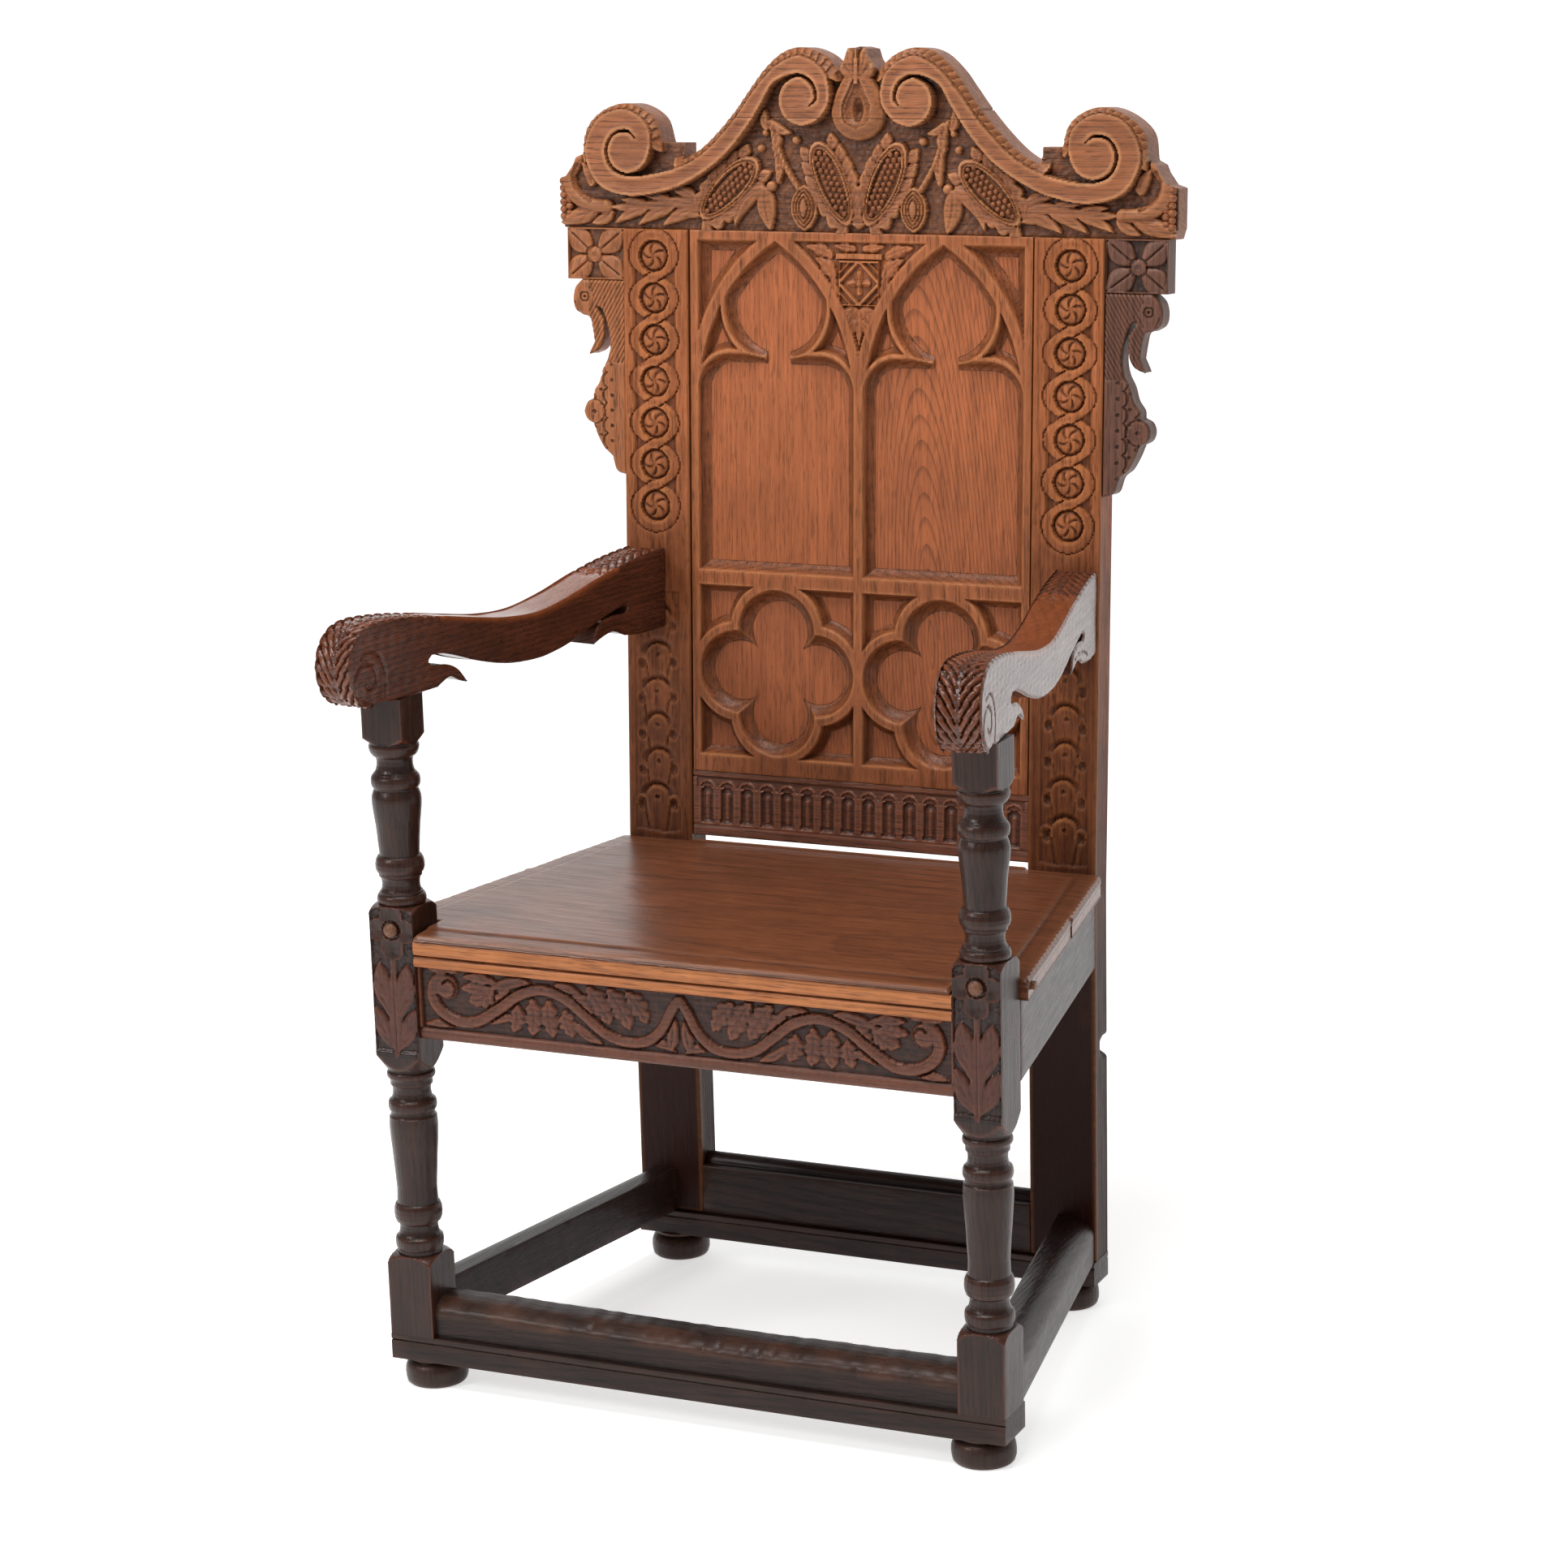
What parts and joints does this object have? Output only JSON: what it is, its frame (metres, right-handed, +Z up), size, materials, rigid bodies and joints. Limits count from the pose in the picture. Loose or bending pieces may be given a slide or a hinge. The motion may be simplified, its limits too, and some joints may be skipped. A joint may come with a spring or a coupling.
{
  "type": "wainscot chair",
  "caption": "Joined oak armchair with raked tracery back, scrolled carved crest, shaped arms, turned front posts, board seat and low stretchers on bun feet.",
  "frame": {"origin": "middle of the chair's bounding box, on the floor", "axes": "+Z up, -Y towards the chair's front, +X to the right of someone who faces the chair"},
  "size_m": [0.6472, 0.5528, 1.2294],
  "materials": {
    "back_oak": "aged oak, reddish brown, waxed",
    "base_oak": "aged oak, nearly black brown, worn wax",
    "seat_oak": "aged oak board, mid brown, waxed and worn",
    "strip_oak": "lighter orange oak strip, waxed"
  },
  "bodies": {
    "root": {"crest_lower_board": "back_oak", "crest_upper_board": "back_oak", "front_plinth": "base_oak", "front_seat_moulding": "strip_oak", "front_seat_rail": "back_oak", "front_stretcher": "base_oak", "left_arm": "base_oak", "left_back_panel": "back_oak", "left_bird_bracket": "back_oak", "left_ear_block": "back_oak", "left_front_foot": "base_oak", "left_front_post": "base_oak", "left_post_boss": "base_oak", "left_rear_foot": "base_oak", "left_rear_post": "back_oak", "left_seat_rail": "base_oak", "left_stretcher": "base_oak", "nulled_rail": "back_oak", "rear_plinth": "base_oak", "rear_seat_rail": "base_oak", "rear_stretcher": "base_oak", "right_arm": "base_oak", "right_back_panel": "back_oak", "right_bird_bracket": "back_oak", "right_ear_block": "back_oak", "right_front_foot": "base_oak", "right_front_post": "base_oak", "right_post_boss": "base_oak", "right_rear_foot": "base_oak", "right_rear_post": "back_oak", "right_seat_rail": "base_oak", "right_stretcher": "base_oak", "seat_front_board": "seat_oak", "seat_pegs": "seat_oak", "seat_rear_board": "seat_oak", "tracery_frame": "back_oak"}
  },
  "joints": []
}
